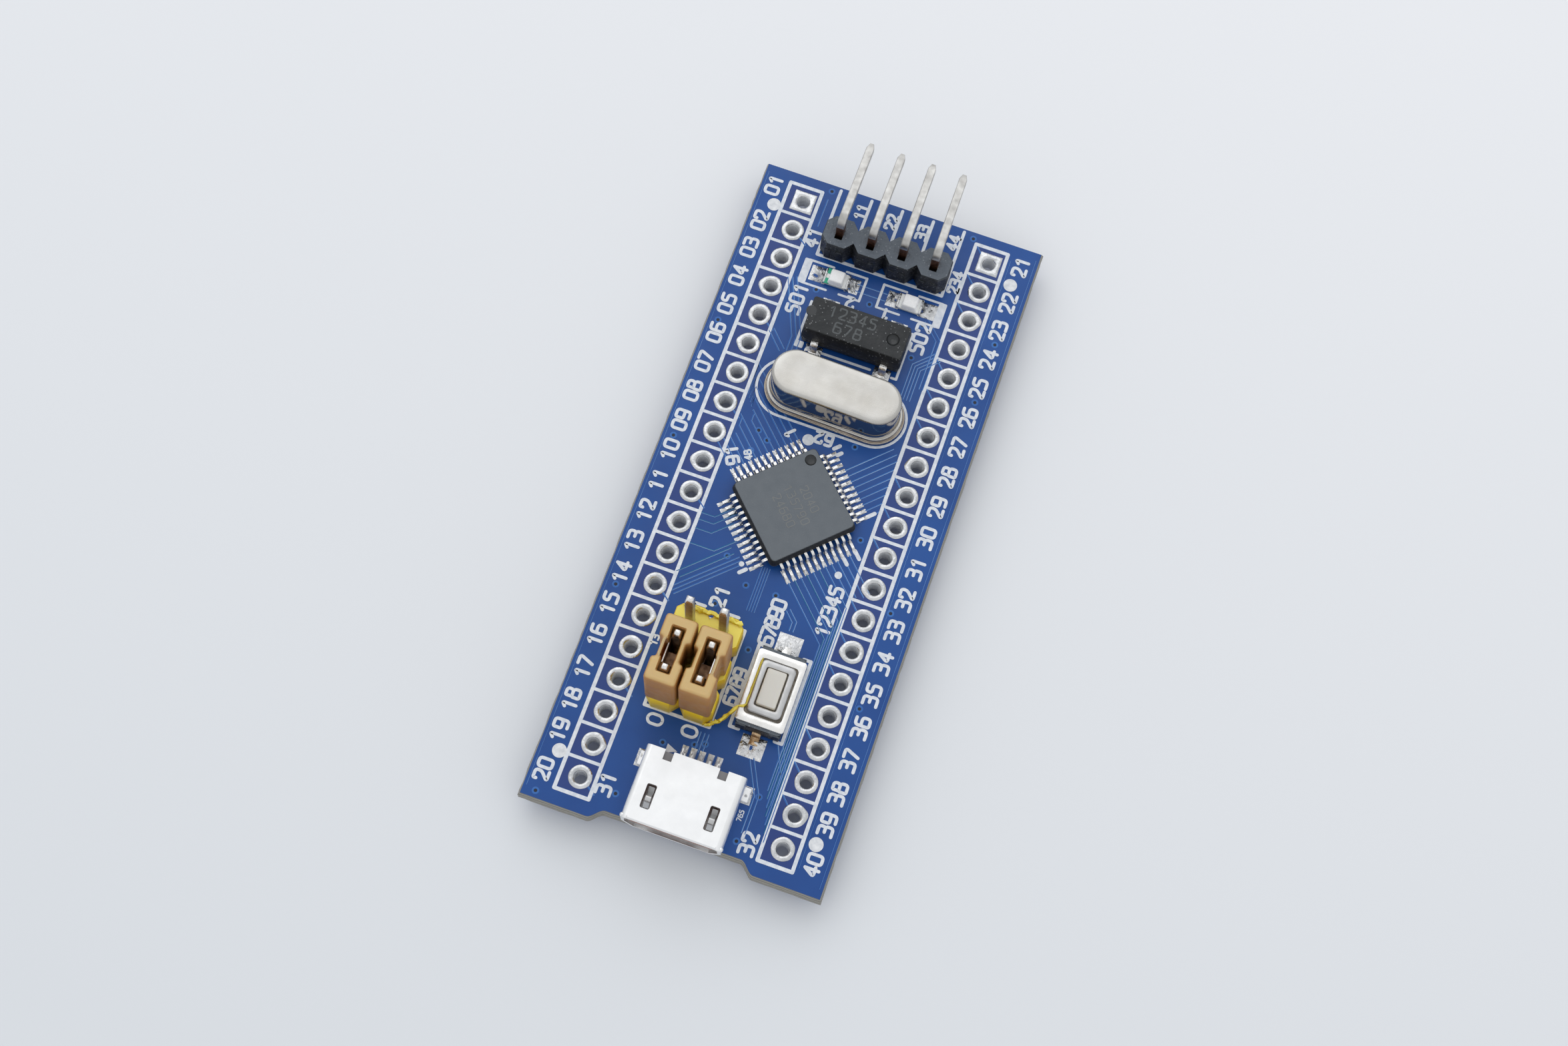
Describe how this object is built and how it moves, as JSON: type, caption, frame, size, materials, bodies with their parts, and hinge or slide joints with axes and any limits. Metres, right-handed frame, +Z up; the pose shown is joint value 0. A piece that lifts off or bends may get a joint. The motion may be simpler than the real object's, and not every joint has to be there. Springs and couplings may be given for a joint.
{
  "type": "microcontroller dev board",
  "caption": "Small blue microcontroller board with two rows of header holes, a turned square chip, crystals, debug pins, jumper caps, a reset button and a USB socket.",
  "frame": {"origin": "on the underside of the circuit board, at the middle of the two rows of header holes", "axes": "+Z up out of the component side, +Y along the board towards the debug header, +X to the right; the USB socket opens towards -Y"},
  "size_m": [0.0228, 0.0553, 0.0111],
  "materials": {
    "board_mask": "semi-gloss blue solder mask on glass-epoxy board",
    "chip_epoxy": "matt dark grey moulding compound",
    "tinned_metal": "bright tin plating and solder",
    "nickel_case": "nickel-plated drawn case",
    "stainless_sheet": "thin stamped sheet, satin",
    "gold_contact": "gold flash over brass",
    "black_plastic": "glass-filled black plastic",
    "yellow_plastic": "moulded yellow plastic",
    "tan_plastic": "moulded tan plastic, slightly see-through",
    "cream_plastic": "off-white moulded plastic",
    "lamp_plate": "white lamp substrate",
    "clear_resin": "milky clear resin lens",
    "quartz": "polished quartz",
    "resistor_ceramic": "black glazed ceramic with tinned ends",
    "capacitor_ceramic": "tan ceramic with tinned ends"
  },
  "bodies": {
    "board": {"boot_housing": "yellow_plastic", "boot_pin_1": "tinned_metal", "boot_pin_2": "tinned_metal", "boot_pin_3": "tinned_metal", "boot_pin_4": "tinned_metal", "boot_pin_5": "tinned_metal", "boot_pin_6": "tinned_metal", "button_base": "black_plastic", "button_cover": "stainless_sheet", "button_dome": "stainless_sheet", "button_terminal_front": "tinned_metal", "button_terminal_rear": "tinned_metal", "chip_capacitor_1": "capacitor_ceramic", "chip_capacitor_2": "capacitor_ceramic", "chip_capacitor_3": "capacitor_ceramic", "chip_resistor_1": "resistor_ceramic", "chip_resistor_2": "resistor_ceramic", "chip_resistor_3": "resistor_ceramic", "chip_resistor_4": "resistor_ceramic", "circuit_board": "board_mask", "debug_housing": "black_plastic", "debug_pin_1": "tinned_metal", "debug_pin_2": "tinned_metal", "debug_pin_3": "tinned_metal", "debug_pin_4": "tinned_metal", "fast_crystal_blank": "quartz", "fast_crystal_can": "nickel_case", "fast_crystal_flange": "nickel_case", "fast_crystal_lead_1": "tinned_metal", "fast_crystal_lead_2": "tinned_metal", "lamp_base_1": "lamp_plate", "lamp_base_2": "lamp_plate", "lamp_lens_1": "clear_resin", "lamp_lens_2": "clear_resin", "mcu_leads_north_east": "tinned_metal", "mcu_leads_north_west": "tinned_metal", "mcu_leads_south_east": "tinned_metal", "mcu_leads_south_west": "tinned_metal", "mcu_package": "chip_epoxy", "regulator_body": "black_plastic", "regulator_lead_1": "tinned_metal", "regulator_lead_2": "tinned_metal", "regulator_lead_3": "tinned_metal", "usb_contact_1": "gold_contact", "usb_contact_2": "gold_contact", "usb_contact_3": "gold_contact", "usb_contact_4": "gold_contact", "usb_contact_5": "gold_contact", "usb_insulator": "black_plastic", "usb_shell": "stainless_sheet", "watch_crystal_body": "black_plastic", "watch_crystal_lead_1": "tinned_metal", "watch_crystal_lead_2": "tinned_metal", "watch_crystal_lead_3": "tinned_metal", "watch_crystal_lead_4": "tinned_metal"},
    "plunger": {"button_plunger": "cream_plastic"},
    "jumper_left": {"jumper_cap_left": "tan_plastic", "jumper_clip_left": "tinned_metal"},
    "jumper_right": {"jumper_cap_right": "tan_plastic", "jumper_clip_right": "tinned_metal"}
  },
  "joints": [
    {"name": "button_press", "type": "slide", "parent": "board", "child": "plunger", "axis": [0, 0, -1], "range_m": [0, 0.00025], "stiffness_N_per_m": 8000, "springref_m": -0.00002, "deforming": ["button_dome"]},
    {"name": "jumper_left_pull", "type": "slide", "parent": "board", "child": "jumper_left", "axis": [0, 0, 1], "range_m": [0, 0.006]},
    {"name": "jumper_right_pull", "type": "slide", "parent": "board", "child": "jumper_right", "axis": [0, 0, 1], "range_m": [0, 0.006]}
  ]
}
